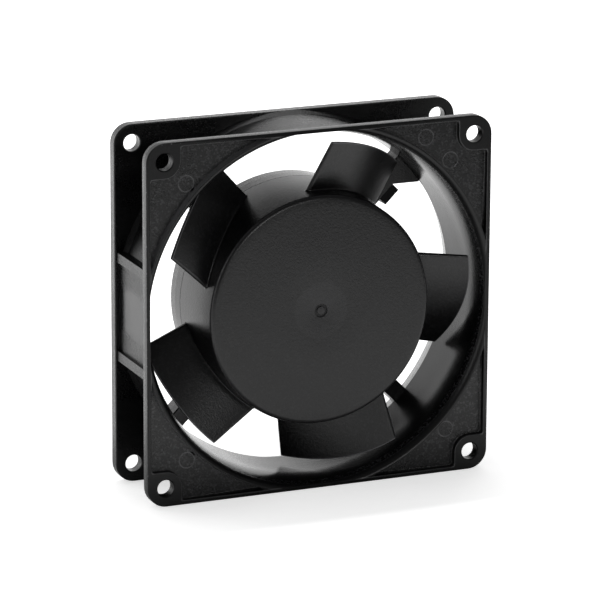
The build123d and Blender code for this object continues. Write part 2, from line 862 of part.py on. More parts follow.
# Leads from the nearest coil, down to the channel and out along the strut
lead_start = (coil_first + coil_last) / 2
for index, side in enumerate((-1, 1)):
    shift = side * lead_pitch / 2
    route_plane = Plane(
        origin=(shift * diagonal, -frame_depth / 2, -shift * diagonal),
        x_dir=(diagonal, 0, diagonal),
        z_dir=(diagonal, 0, -diagonal),
    )
    with BuildPart() as lead:
        with BuildLine(route_plane) as route:
            FilletPolyline(
                (lead_start, -coil_back),
                (lead_start, -lead_depth),
                (strut_reach, -lead_depth),
                radius=lead_bend_radius,
            )
        with BuildSketch(Plane(origin=route.line @ 0, z_dir=route.line % 0)):
            Circle(lead_radius)
        sweep()
        split(bisect_by=Plane(origin=(block_left, 0, 0), z_dir=(1, 0, 0)), keep=Keep.BOTTOM)
    save(lead, f"lead_wire_{index + 1}")

# Cover of the channel, with a lug that grips the side of the strut
with BuildPart() as channel_cover:
    with BuildSketch(along_strut.offset(-notch_front)):
        block(cover_start, cover_end, -channel_width / 2, channel_width / 2)
        block(lug_start, lug_end, lug_outside, -channel_width / 2)
    extrude(amount=-cover_thickness)
    with BuildSketch(along_strut.offset(-lug_front)):
        block(lug_start, lug_end, lug_outside, -strut_width / 2)
    extrude(amount=lug_front - notch_front)
save(channel_cover, "channel_cover")
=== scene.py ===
import logging
import math
from dataclasses import dataclass
from enum import Enum
from typing import Any, Mapping, Sequence

import bmesh
import bpy
import numpy as np
from mathutils import Matrix, Vector


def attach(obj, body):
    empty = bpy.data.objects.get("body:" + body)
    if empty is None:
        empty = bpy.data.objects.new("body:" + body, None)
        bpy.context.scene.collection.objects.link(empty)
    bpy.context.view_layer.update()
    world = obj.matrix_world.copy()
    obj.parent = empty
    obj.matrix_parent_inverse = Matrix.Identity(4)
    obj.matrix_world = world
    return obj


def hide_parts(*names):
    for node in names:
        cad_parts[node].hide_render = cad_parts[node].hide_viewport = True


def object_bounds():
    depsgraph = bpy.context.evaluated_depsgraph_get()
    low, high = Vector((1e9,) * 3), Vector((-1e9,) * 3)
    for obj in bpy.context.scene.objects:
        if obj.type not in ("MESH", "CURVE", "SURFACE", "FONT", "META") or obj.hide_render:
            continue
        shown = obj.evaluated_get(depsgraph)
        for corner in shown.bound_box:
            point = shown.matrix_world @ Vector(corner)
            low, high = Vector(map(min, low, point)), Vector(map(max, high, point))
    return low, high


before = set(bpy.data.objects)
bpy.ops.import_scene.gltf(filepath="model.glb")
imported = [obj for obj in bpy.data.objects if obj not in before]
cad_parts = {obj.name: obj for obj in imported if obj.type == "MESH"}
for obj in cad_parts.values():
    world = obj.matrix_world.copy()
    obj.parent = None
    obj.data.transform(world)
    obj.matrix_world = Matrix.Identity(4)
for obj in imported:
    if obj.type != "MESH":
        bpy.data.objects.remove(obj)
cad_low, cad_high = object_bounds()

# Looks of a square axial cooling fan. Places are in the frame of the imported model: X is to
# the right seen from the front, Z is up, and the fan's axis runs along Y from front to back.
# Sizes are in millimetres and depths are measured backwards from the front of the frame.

MM = 0.001
GAP = 1e-7
log = logging.getLogger("fan")

Mesh = bpy.types.Mesh
Material = bpy.types.Material
Thing = bpy.types.Object
Points = np.ndarray
Faces = np.ndarray
Colour = tuple[float, float, float]
Place = tuple[float, float, float]
Span = tuple[float, float]
Spans = tuple[Span, Span]

BLACK: Colour = (0.0, 0.0, 0.0)
WHITE: Colour = (1.0, 1.0, 1.0)
SPECK_STOPS = ((0.60, 0.0), (1.0, 1.0))
CHIP_STOPS = ((0.64, 0.0), (0.68, 1.0))


class Body(Enum):
    """The two bodies of the fan that pieces ride on."""

    FRAME = "frame"
    ROTOR = "rotor"


class Grain(Enum):
    """Patterns of small relief that a finish can have."""

    ROLLED = "rolled sheet"
    STACKED = "stacked laminations"
    TURNED = "turned on a lathe"
    WOUND = "wound wire"


class Wire:
    """A shader value that arithmetic can be written with: each operator adds its Math node."""

    def __init__(self, graph: "Graph", socket: bpy.types.NodeSocket) -> None:
        """Wraps one output socket of a graph."""
        self.graph = graph
        self.socket = socket

    def _maths(self, operation: str, first: Any, second: Any = None) -> "Wire":
        """Wire of a new Math node that works on one or two values or wires."""
        values = {0: first} if second is None else {0: first, 1: second}
        return self.graph.add("ShaderNodeMath", {"operation": operation}, values)["Value"]

    def __add__(self, other: Any) -> "Wire":
        """Sum of two values."""
        return self._maths("ADD", self, other)

    __radd__ = __add__

    def __sub__(self, other: Any) -> "Wire":
        """Difference of two values."""
        return self._maths("SUBTRACT", self, other)

    def __rsub__(self, other: Any) -> "Wire":
        """Difference of two values, the other way round."""
        return self._maths("SUBTRACT", other, self)

    def __mul__(self, other: Any) -> "Wire":
        """Product of two values."""
        return self._maths("MULTIPLY", self, other)

    __rmul__ = __mul__

    def __pow__(self, other: Any) -> "Wire":
        """Power of a value."""
        return self._maths("POWER", self, other)

    def most(self, other: Any) -> "Wire":
        """The larger of two values."""
        return self._maths("MAXIMUM", self, other)

    def least(self, other: Any) -> "Wire":
        """The smaller of two values."""
        return self._maths("MINIMUM", self, other)

    def size(self) -> "Wire":
        """The value without its sign."""
        return self._maths("ABSOLUTE", self)

    def between(self, low: float, high: float) -> "Wire":
        """A level that goes evenly from low to high as this value goes from nought to one."""
        return self * (high - low) + low


class Parts:
    """The outputs of a node, by name."""

    def __init__(self, graph: "Graph", node: bpy.types.Node) -> None:
        """Wraps one node of a graph."""
        self.graph = graph
        self.node = node

    def __getitem__(self, name: str) -> Wire:
        """Wire of the output with that name."""
        return Wire(self.graph, self.node.outputs[name])


class Graph:
    """The node tree of one material, or of the surroundings."""

    def __init__(self, name: str, owner: Any = None) -> None:
        """Makes a material with an empty tree, or empties the tree of its owner."""
        self.material = owner or bpy.data.materials.new(name)
        self.material.use_nodes = True
        self.tree = self.material.node_tree
        self.tree.nodes.clear()

    def add(
        self,
        kind: str,
        settings: Mapping[str, Any] | None = None,
        values: Mapping[Any, Any] | None = None,
    ) -> Parts:
        """Adds a node.

        Args:
            kind: The node's type.
            settings: What is set before its sockets; "stops" are a ramp's stops.
            values: What each input socket holds or is linked to, by name or number.

        Returns:
            The node's outputs.
        """
        node = self.tree.nodes.new(kind)
        for key, value in (settings or {}).items():
            if key == "stops":
                ramp = node.color_ramp
                while len(ramp.elements) < len(value):
                    ramp.elements.new(1.0)
                for element, (place, level) in zip(ramp.elements, value):
                    element.position = place
                    element.color = (level, level, level, 1.0)
            else:
                setattr(node, key, value)
        for key, value in (values or {}).items():
            socket = node.inputs[key]
            if isinstance(value, Wire):
                self.tree.links.new(value.socket, socket)
            elif isinstance(value, tuple) and len(value) == 3 and socket.type == "RGBA":
                socket.default_value = (*value, 1.0)
            else:
                socket.default_value = value
        return Parts(self, node)

    def place(self) -> Wire:
        """The place on the piece, in metres."""
        return self.add("ShaderNodeTexCoord")["Object"]

    def axes(self) -> tuple[Wire, Wire, Wire]:
        """The place on the piece as three values, in metres."""
        parts = self.add("ShaderNodeSeparateXYZ", None, {"Vector": self.place()})
        return parts["X"], parts["Y"], parts["Z"]

    def rise(self, value: Wire, low: float, high: float) -> Wire:
        """Nought up to the first of two places in millimetres, one past the second."""
        limits = {"Value": value, "From Min": low * MM, "From Max": high * MM}
        return self.add("ShaderNodeMapRange", None, limits)["Result"]

    def fall(self, value: Wire, low: float, high: float) -> Wire:
        """One up to the first of two places in millimetres, nought past the second."""
        return self.rise(value, high, low)

    def within(self, value: Wire, start: Span, end: Span) -> Wire:
        """One between two spans in millimetres: a rise over the first, a fall over the second."""
        return self.rise(value, *start) * self.fall(value, *end)

    def line(self, value: Wire, place: float, width: float) -> Wire:
        """One at a place in millimetres, and nought from half a width away."""
        return self.fall((value - place * MM).size(), width / 4.0, width / 2.0)

    def noise(self, size: float, detail: float = 2.0, roughness: float = 0.5) -> Wire:
        """Cloudy noise.

        Args:
            size: Size of its blotches, in millimetres.
            detail: Number of finer layers.
            roughness: Weight of the finer layers.

        Returns:
            Wire from nought to one, about a half on average.
        """
        values = {
            "Vector": self.place(),
            "Scale": 1.0 / (size * MM),
            "Detail": detail,
            "Roughness": roughness,
        }
        return self.add("ShaderNodeTexNoise", None, values)["Fac"]

    def specks(self, size: float) -> Wire:
        """The brighter of the cells that a surface falls into, every one of a single level.

        Args:
            size: Size of the cells, in millimetres.

        Returns:
            Wire from nought, on the darker cells, to one.
        """
        values = {"Vector": self.place(), "Scale": 1.0 / (size * MM)}
        colour = self.add("ShaderNodeTexVoronoi", None, values)["Color"]
        level = self.add("ShaderNodeSeparateColor", None, {"Color": colour})["Red"]
        return self.ramp(level, SPECK_STOPS)

    def ramp(self, value: Wire, stops: Sequence[Span]) -> Wire:
        """Value remapped by straight pieces between stops of place and level."""
        parts = self.add("ShaderNodeValToRGB", {"stops": list(stops)}, {"Fac": value})
        return parts["Color"]

    def blend(self, share: Wire | float, first: Any, second: Any) -> Wire:
        """Mix of two colours, from the first at a share of nought to the second at one."""
        parts = self.add("ShaderNodeMix", {"data_type": "RGBA"}, {0: share, 6: first, 7: second})
        return Wire(self, parts.node.outputs[2])

    def shade(
        self, values: Mapping[str, Any], height: Wire | None = None, depth: float = 0.0
    ) -> Material:
        """Ends the tree with a surface.

        Args:
            values: Sockets of the surface.
            height: Relief from nought to one, or none.
            depth: How high the relief is, in millimetres.

        Returns:
            The finished material.
        """
        sockets = dict(values)
        if height is not None:
            bump = {"Height": height, "Strength": 1.0, "Distance": depth * MM}
            sockets["Normal"] = self.add("ShaderNodeBump", None, bump)["Normal"]
        surface = self.add("ShaderNodeBsdfPrincipled", None, sockets)["BSDF"]
        self.add("ShaderNodeOutputMaterial", None, {"Surface": surface})
        return self.material


class Skin(Graph):
    """The node tree of a material that knows where on the fan each point is, in metres."""

    def __init__(self, name: str) -> None:
        """Adds the point's depth from the front, distance from the axis and side.

        In words: the side is how far the point is from the axis across or up, whichever is
        more, so it is the same all round a square.
        """
        super().__init__(name)
        self.across, self.deep, self.up = self.axes()
        self.depth = self.deep - cad_low.y
        self.radius = (self.across * self.across + self.up * self.up) ** 0.5
        self.side = self.across.size().most(self.up.size())


@dataclass(frozen=True)
class BlackPaint:
    """Black paint on a die casting: coarse on raw faces, finer on the rims and in the bore, with painted
    shade between the flanges and painted highlights on pad and rim edges, pin-mark rings and the bead.

    Sizes are in millimetres, and depths count from the front. Most spans are the two places
    between which one look passes into the next. A ring's span, and that of a mark's depth,
    is a place and the width of the line there. Levels belong to a share of nought and one.
    """

    colour: Colour = (0.0020, 0.0021, 0.0023)
    speck_colour: Colour = (0.027, 0.027, 0.029)
    highlight_and_wear_colour: Colour = (0.17, 0.17, 0.175)
    roughness: float = 0.34
    raw_roughness: float = 0.29
    bore_roughness: float = 0.20
    mottle_roughness: float = 0.14
    grain_roughness: float = 0.12
    shine: float = 0.40
    coat_roughness: float = 0.3

    grain_size: float = 0.40
    grain_depth: float = 0.10
    ripple_size: float = 2.0
    ripple_share: float = 0.08
    mottle_size: float = 7.0
    mottle_share: float = 0.08
    speck_levels: Span = (0.1, 0.9)
    between_flange_shade_levels: Span = (0.1, 1.0)
    coat_levels: Span = (0.2, 0.5)
    relief_levels: Span = (0.18, 1.0)
    bore_relief: Span = (1.0, 0.25)

    raw_depth: Span = (1.4, 1.5)
    outer_side: Span = (45.8, 45.95)
    bore_radius: Span = (44.9, 45.2)
    bore_depth: Span = (0.8, 2.0)
    flange_backs: Spans = ((2.8, 3.0), (22.5, 22.7))

    mark_highlight_tone: float = 0.55
    mark_ring: Span = (2.0, 0.42)
    mark_depth: Span = (1.65, 0.6)
    mark_places: tuple[Span, ...] = (
        (-35.1, 35.1), (-35.1, -35.1), (35.1, -35.1), (28.7, 41.1), (35.4, 34.8),
    )
    pad_highlight_tone: float = 0.4
    pad_radius: float = 4.2
    pad_width: float = 0.4
    pad_depth: Span = (0.10, 0.30)
    hole_place: float = 41.25
    rim_inside: float = 44.9
    rim_width: float = 0.3
    step: float = 0.1
    bead_highlight_tone: float = 0.6
    bead_radii: Spans = ((46.8, 46.84), (47.2, 47.3))
    bead_depths: Spans = ((0.02, 0.1), (1.4, 1.7))
    chip_tone: float = 0.8
    chip_size: float = 0.8
    edge_depth: Span = (0.3, 0.45)
    corner_side: Span = (45.45, 45.75)
    corner_depth: Span = (0.02, 0.12)

    def mark_highlights(self, skin: Skin) -> Wire:
        """Finds the rings that ejector pins and an insert leave in the pockets, whose edges are painted
        lighter as a painted highlight.

        Args:
            skin: The paint's tree.

        Returns:
            Wire that is one on the rings.
        """
        found = None
        for x, z in self.mark_places:
            aside, above = skin.across - x * MM, skin.up - z * MM
            away = (aside * aside + above * above) ** 0.5
            ring = skin.line(away, *self.mark_ring)
            found = ring if found is None else found.most(ring)
        return found * skin.line(skin.depth, *self.mark_depth)

    def edges(self, skin: Skin) -> Wire:
        """Finds the painted highlights: lighter lines on the edges of the corner pads and the rim, and a
        lighter band on the bead's outside, where their roundings catch the light.

        In words: past the hole's middle a place counts as level with it, so the distance
        from the hole's middle draws a quarter circle with its two straight tangents.

        Args:
            skin: The paint's tree.

        Returns:
            Wire of how far the paint is rubbed off.
        """
        aside = (skin.across.size() - self.hole_place * MM).least(0.0)
        above = (skin.up.size() - self.hole_place * MM).least(0.0)
        away = (aside * aside + above * above) ** 0.5
        inside = skin.fall(skin.side, self.rim_inside - self.step, self.rim_inside)
        beyond = skin.rise(away, self.pad_radius, self.pad_radius + self.step)
        pad = skin.line(away, self.pad_radius, self.pad_width) * inside
        rim = skin.line(skin.side, self.rim_inside, self.rim_width) * beyond
        bead = skin.within(skin.radius, *self.bead_radii)
        bead = bead * skin.within(skin.depth, *self.bead_depths)
        front = pad.most(rim) * skin.fall(skin.depth, *self.pad_depth)
        return (front * self.pad_highlight_tone).most(bead * inside * self.bead_highlight_tone)

    def chips(self, skin: Skin, edge: Wire) -> Wire:
        """One on the small chips along the front flange, given one on the flanges' outer edges."""
        corner = skin.rise(skin.side, *self.corner_side) * skin.fall(skin.depth, *self.corner_depth)
        corner = corner + edge * skin.fall(skin.depth, *self.edge_depth)
        return skin.ramp(skin.noise(self.chip_size, 2.0, 0.6), CHIP_STOPS) * corner

    def material(self) -> Material:
        """Builds the paint's material.

        Returns:
            The material.
        """
        skin = Skin("black_paint")
        raw = skin.rise(skin.depth, *self.raw_depth)
        edge = skin.rise(skin.side, *self.outer_side)
        bore = skin.fall(skin.radius, *self.bore_radius) * skin.rise(skin.depth, *self.bore_depth)
        # Painted shade between the flanges: the faces there get few light specks and no coat, so they
        # read darker.
        seen = 1 - skin.within(skin.depth, *self.flange_backs) * (1 - edge)
        coarse = raw.most(edge)
        fine = skin.noise(self.grain_size, 2.0, 0.65)
        mottle = skin.noise(self.mottle_size, 3.0, 0.55) - 0.5
        specks = skin.specks(self.grain_size)
        share = specks * coarse.between(*self.speck_levels) * seen.between(*self.between_flange_shade_levels)
        paint = skin.blend(share + mottle * self.mottle_share, self.colour, self.speck_colour)
        # Lighter colour: real wear on the chips along the front flange, and painted highlights on the
        # pin-mark rings, the pad and rim edges and the bead's outside.
        highlight_and_wear = self.chips(skin, edge) * self.chip_tone
        highlight_and_wear = highlight_and_wear.most(self.mark_highlights(skin) * self.mark_highlight_tone).most(self.edges(skin))
        rough = (fine - 0.5) * self.grain_roughness + mottle * self.mottle_roughness + self.roughness
        rough = rough - bore * (self.roughness - self.bore_roughness)
        rough = rough - raw * (1 - bore) * (self.roughness - self.raw_roughness)
        relief = fine * coarse.between(*self.relief_levels) * bore.between(*self.bore_relief)
        relief = relief + skin.noise(self.ripple_size, 2.0) * self.ripple_share
        values = {
            "Base Color": skin.blend(highlight_and_wear, paint, self.highlight_and_wear_colour),
            "Roughness": rough,
            "Specular IOR Level": self.shine,
            "Coat Weight": specks.between(*self.coat_levels) * raw * seen,
            "Coat Roughness": self.coat_roughness,
        }
        return skin.shade(values, relief, self.grain_depth)


@dataclass(frozen=True)
class BlackPlastic:
    """Black moulded plastic with the fine even grain of its mould.

    Sizes are in millimetres, with spans as for the paint. A disc round the gate is a little lighter, and
    the hub's front edge and the blade tips carry painted highlights where their roundings catch the
    light.
    """

    name: str = "impeller_plastic"
    colour: Colour = (0.0030, 0.0030, 0.0033)
    lighter: Colour = (0.034, 0.034, 0.036)
    highlight_and_wear_colour: Colour = (0.11, 0.11, 0.115)
    roughness: float = 0.31
    flow_roughness: float = 0.12
    grain_roughness: float = 0.08
    recess_roughness: float = 0.3
    shine: float = 0.5

    grain_size: float = 0.46
    grain_depth: float = 0.05
    flow_size: float = 14.0
    flow_share: float = 0.2
    gate_share: float = 0.2
    plain_share: float = 0.03
    speck_levels: Span = (0.26, 0.14)

    front_depth: Span = (0.4, 0.6)
    gate_radius: Span = (6.9, 7.4)
    recess_radius: Span = (1.6, 1.75)
    recess_depth: Span = (0.15, 0.25)
    edge_highlight_tone: float = 0.22
    edge_depth: Span = (0.62, 0.5)
    edge_radii: Spans = ((28.4, 28.6), (29.4, 29.6))
    tip_radii: Spans = ((41.78, 41.86), (42.0, 42.06))

    def material(self) -> Material:
        """Builds the plastic's material.

        Returns:
            The material.
        """
        skin = Skin(self.name)
        fine = skin.noise(self.grain_size, 2.0, 0.6)
        flow = skin.noise(self.flow_size, 4.0, 0.6) - 0.5
        front = skin.fall(skin.depth, *self.front_depth)
        gate = skin.fall(skin.radius, *self.gate_radius) * front
        recess = skin.fall(skin.radius, *self.recess_radius)
        recess = recess * skin.rise(skin.depth, *self.recess_depth)
        share = skin.specks(self.grain_size) * front.between(*self.speck_levels)
        share = share + flow * self.flow_share + gate * self.gate_share + self.plain_share
        # Painted highlights: a lighter line on the hub's rounded front edge and on the blade tips.
        hub_edge_highlight = skin.line(skin.depth, *self.edge_depth) * skin.within(skin.radius, *self.edge_radii)
        highlight_and_wear = (hub_edge_highlight * self.edge_highlight_tone).most(skin.within(skin.radius, *self.tip_radii))
        rough = flow * self.flow_roughness + (fine - 0.5) * self.grain_roughness + self.roughness
        plain = skin.blend(share, self.colour, self.lighter)
        values = {
            "Base Color": skin.blend(highlight_and_wear, plain, self.highlight_and_wear_colour),
            "Roughness": rough + recess * self.recess_roughness,
            "Specular IOR Level": self.shine,
        }
        return skin.shade(values, fine, self.grain_depth)


@dataclass(frozen=True)
class Metal:
    """Bare or plated metal with one of the grains that working it leaves.

    Sizes are in millimetres. A sheet is half the pitch of stacked laminations, and a feed
    half that of the rings which a lathe leaves.
    """

    name: str
    colour: Colour
    roughness: float
    grain: Grain
    grain_size: float = 0.3
    grain_depth: float = 0.004
    sheet: float = 0.25
    feed: float = 0.06
    sheet_share: float = 0.8
    feed_share: float = 0.384
    turned_share: float = 0.6
    tarnish_size: float = 3.0
    tarnish_tone: float = 0.6
    tarnish_roughness: float = 0.2

    def ridges(self, skin: Skin, value: Wire, half: float) -> Wire:
        """Ridges from nought to one along a value, with half their pitch in millimetres."""
        wave = skin.add("ShaderNodeMath", {"operation": "PINGPONG"}, {0: value, 1: half * MM})
        return wave["Value"] * (1.0 / (half * MM))

    def relief(self, skin: Skin) -> Wire:
        """Draws the metal's grain.

        Args:
            skin: The metal's tree.

        Returns:
            Wire of the grain's height, from nought to one.
        """
        fine = skin.noise(self.grain_size, 3.0, 0.6)
        if self.grain is Grain.STACKED:
            sheets = self.ridges(skin, skin.deep, self.sheet)
            return sheets * self.sheet_share + fine * (1.0 - self.sheet_share)
        if self.grain is Grain.TURNED:
            rings = self.ridges(skin, skin.radius, self.feed)
            return rings * self.feed_share + fine * self.turned_share
        return fine

    def material(self) -> Material:
        """Builds the metal's material.

        Returns:
            The material.
        """
        skin = Skin(self.name)
        tarnish = skin.noise(self.tarnish_size, 4.0, 0.6)
        darker = tuple(self.tarnish_tone * level for level in self.colour)
        values = {
            "Base Color": skin.blend(tarnish, self.colour, darker),
            "Roughness": (tarnish - 0.5) * self.tarnish_roughness + self.roughness,
            "Metallic": 1.0,
        }
        return skin.shade(values, self.relief(skin), self.grain_depth)


@dataclass(frozen=True)
class Dielectric:
    """Plain insulating material, such as an end piece, a paper disc or a lead's sleeve."""

    name: str
    colour: Colour
    darker: Colour
    roughness: float
    grain_size: float = 0.5
    grain_depth: float = 0.01
    cloud_size: float = 4.0
    cloud_roughness: float = 0.15

    def material(self) -> Material:
        """Builds the insulator's material.

        Returns:
            The material.
        """
        graph = Graph(self.name)
        cloud = graph.noise(self.cloud_size, 3.0, 0.6)
        values = {
            "Base Color": graph.blend(cloud, self.colour, self.darker),
            "Roughness": (cloud - 0.5) * self.cloud_roughness + self.roughness,
        }
        return graph.shade(values, graph.noise(self.grain_size, 3.0, 0.6), self.grain_depth)


@dataclass(frozen=True)
class Tabletop:
    """Pale table that glows a little, like one that is lit through.

    Places are in millimetres: across from the fan's axis, and back from the middle of its
    frame. The table glows from its front edge on, but not close under the fan or on the
    right in front of it, and the camera sees it white.
    """

    colour: Colour = (0.92, 0.92, 0.92)
    cloud_colour: Colour = (0.90, 0.90, 0.90)
    unlit_colour: Colour = (0.05, 0.05, 0.05)
    cloud_size: float = 400.0
    roughness: float = 0.8
    front_edge: Span = (-350.0, -265.0)
    under_back: Span = (36.0, 50.0)
    under_across: Span = (55.0, 90.0)
    right_across: Span = (130.0, 190.0)
    right_back: Span = (-20.0, 40.0)
    near_back: Span = (-125.0, -75.0)
    far_back: Span = (-40.0, 250.0)
    glow: float = 0.56
    near_glow: float = 0.10
    far_glow: float = 0.30
    seen_out: Span = (40.0, 160.0)
    seen_levels: Span = (0.62, 1.12)

    def material(self) -> Material:
        """Builds the table's material.

        Returns:
            The material.
        """
        graph = Graph("pale_floor")
        across, deep, _ = graph.axes()
        out = (across * across + deep * deep) ** 0.5
        seen = graph.add("ShaderNodeLightPath")["Is Camera Ray"]
        white = seen * graph.rise(out, *self.seen_out).between(*self.seen_levels)
        # No glow close under the fan: a painted shadow of the fan on the table.
        under = graph.rise(deep.size(), *self.under_back)
        under = under.most(graph.rise(across.size(), *self.under_across))
        right = graph.fall(across, *self.right_across).most(graph.rise(deep, *self.right_back))
        near = graph.rise(deep, *self.near_back) * self.near_glow
        far = graph.rise(deep, *self.far_back) * self.far_glow
        table = graph.rise(deep, *self.front_edge)
        lit = table * under * right * (far + near + self.glow)
        tone = graph.blend(graph.noise(self.cloud_size, 2.0), self.colour, self.cloud_colour)
        values = {
            "Base Color": graph.blend(table.most(seen), self.unlit_colour, tone),
            "Roughness": self.roughness,
            "Emission Color": graph.blend(lit + white, BLACK, WHITE),
            "Emission Strength": 1.0,
        }
        return graph.shade(values)


@dataclass(frozen=True)
class Softbox:
    """One soft light, a glowing rectangle. Its places and sizes are in metres."""

    name: str
    place: Place
    facing: Place
    size: Span
    glow: float
    power: float = 4.0

    def hang(self) -> None:
        """Hangs the light, whose glow is one where a white just fills the picture's range."""
        data = bpy.data.lights.new(self.name, "AREA")
        data.shape = "RECTANGLE"
        data.size, data.size_y = self.size
        data.energy = self.power * self.size[0] * self.size[1] * self.glow
        light = in_scene(self.name, data)
        light.rotation_mode = "QUATERNION"
        light.location = self.place
        light.rotation_quaternion = Vector(self.facing).to_track_quat("-Z", "Y")


def in_scene(name: str, data: Any) -> Thing:
    """Puts a new object with a mesh, light or camera into the scene."""
    thing = bpy.data.objects.new(name, data)
    bpy.context.scene.collection.objects.link(thing)
    return thing


def rounded(corners: Sequence[Place], steps: int = 8) -> Points:
    """A profile with rounded corners.

    In words: at a corner with a radius, the two sides are cut back by the radius times the
    tangent of half the turn, and an arc that touches both sides joins the ends.

    Args:
        corners: Radius from the axis, depth and rounding of each corner, in order.
        steps: Number of points in each arc.

    Returns:
        Array of radius and depth.
    """
    places = np.array([corner[:2] for corner in corners], float)
    pieces = []
    for index, (radius, depth, rounding) in enumerate(corners):
        here = places[index]
        if rounding <= 0.0 or index in (0, len(corners) - 1):
            pieces.append(here[None, :])
            continue
        before = places[index - 1] - here
        after = places[index + 1] - here
        before /= np.linalg.norm(before)
        after /= np.linalg.norm(after)
        half = math.acos(float(np.clip(before @ after, -1.0, 1.0))) / 2.0
        centre = here + (before + after) / np.linalg.norm(before + after) * rounding / math.sin(half)
        start = here + before * rounding / math.tan(half) - centre
        end = here + after * rounding / math.tan(half) - centre
        first = math.atan2(start[1], start[0])
        turn = (math.atan2(end[1], end[0]) - first + math.pi) % (2.0 * math.pi) - math.pi
        angles = first + turn * np.linspace(0.0, 1.0, steps)
        pieces.append(centre + rounding * np.stack((np.cos(angles), np.sin(angles)), axis=1))
    return np.concatenate(pieces)


def grid_faces(rows: int, columns: int) -> Faces:
    """Four-sided faces of a grid of points whose last column joins the first.

    Args:
        rows: Number of rows of points.
        columns: Number of points in a row.

    Returns:
        Array of four point numbers for each face.
    """
    near = np.arange(rows * columns).reshape(rows, columns)
    along = np.roll(near, -1, axis=1)
    corners = (near[:-1], along[:-1], along[1:], near[1:])
    return np.stack([corner.ravel() for corner in corners], axis=1)


def placed(radius: Points, angle: Points, depth: Points) -> Points:
    """Points of the row's frame, in metres, from radius, angle and depth.

    In words: the radius times the cosine and sine of the angle goes across and up, and the
    depth, less half the frame's depth, goes back.

    Args:
        radius: Distance from the axis, in millimetres.
        angle: Angle from the right, upwards.
        depth: Depth from the front, in millimetres.

    Returns:
        Array with three values for each point.
    """
    half_depth = (cad_high.y - cad_low.y) / 2.0
    across = radius * np.cos(angle) * MM
    up = radius * np.sin(angle) * MM
    return np.stack((across, depth * MM - half_depth, up), axis=-1)


def turned(profile: Points, steps: int) -> tuple[Points, Faces]:
    """A profile turned about the fan's axis.

    In words: every point of the profile keeps its radius and depth while the angle goes
    once round, so the surface is a function of the place along the profile and the angle.

    Args:
        profile: Array of radius and depth.
        steps: Number of angles.

    Returns:
        Points and faces.
    """
    angle = np.linspace(0.0, 2.0 * math.pi, steps, endpoint=False)[None, :]
    radius = np.repeat(profile[:, :1], steps, axis=1)
    depth = np.repeat(profile[:, 1:], steps, axis=1)
    points = placed(radius, angle, depth).reshape(-1, 3)
    return points, grid_faces(len(profile), steps)


def closed_mesh(name: str, shells: Sequence[tuple[Points, Faces]]) -> Mesh:
    """Makes one smooth mesh of surfaces, its doubles merged and its faces pointing outwards.

    Args:
        name: The mesh's name.
        shells: Points in metres and faces of each surface.

    Returns:
        The new mesh.
    """
    points = np.concatenate([shell[0] for shell in shells])
    starts = np.cumsum([0] + [len(shell[0]) for shell in shells[:-1]])
    faces = [shell[1] + start for shell, start in zip(shells, starts)]
    mesh = bpy.data.meshes.new(name)
    mesh.from_pydata(points.tolist(), [], [row for group in faces for row in group.tolist()])
    shape = bmesh.new()
    shape.from_mesh(mesh)
    bmesh.ops.remove_doubles(shape, verts=shape.verts, dist=GAP)
    bmesh.ops.dissolve_degenerate(shape, edges=shape.edges, dist=GAP)
    bmesh.ops.recalc_face_normals(shape, faces=shape.faces)
    shape.to_mesh(mesh)
    shape.free()
    mesh.shade_smooth()
    return mesh


def merged(mesh: Mesh) -> tuple[Points, Faces, Points]:
    """A mesh of triangles with the points that lie at one place made one.

    Args:
        mesh: The mesh, which stays as it is.

    Returns:
        Points, the three point numbers of each triangle and the normals of its corners.
    """
    points, corners = np.empty(len(mesh.vertices) * 3), np.empty(len(mesh.loops), int)
    normals = np.empty(len(mesh.loops) * 3)
    mesh.vertices.foreach_get("co", points)
    mesh.loops.foreach_get("vertex_index", corners)
    mesh.corner_normals.foreach_get("vector", normals)
    points = points.reshape(-1, 3)
    places = np.round(points / GAP).astype(np.int64)
    _, first, number = np.unique(places, axis=0, return_index=True, return_inverse=True)
    corners = number.ravel()[corners].reshape(-1, 3)
    order = np.sort(corners, axis=1)
    whole = (order[:, 1:] != order[:, :-1]).all(axis=1)
    return points[first], corners[whole], normals.reshape(-1, 3, 3)[whole]


def dress(finish: BlackPlastic | Metal | Dielectric, *names: str) -> None:
    """Gives nodes of the frame a finish.

    Args:
        finish: The finish.
        *names: The nodes' names.
    """
    material = finish.material()
    for name in names:
        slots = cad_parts[name].data.materials
        slots.clear()
        slots.append(material)
        log.info("dressed %s with %s", name, material.name)


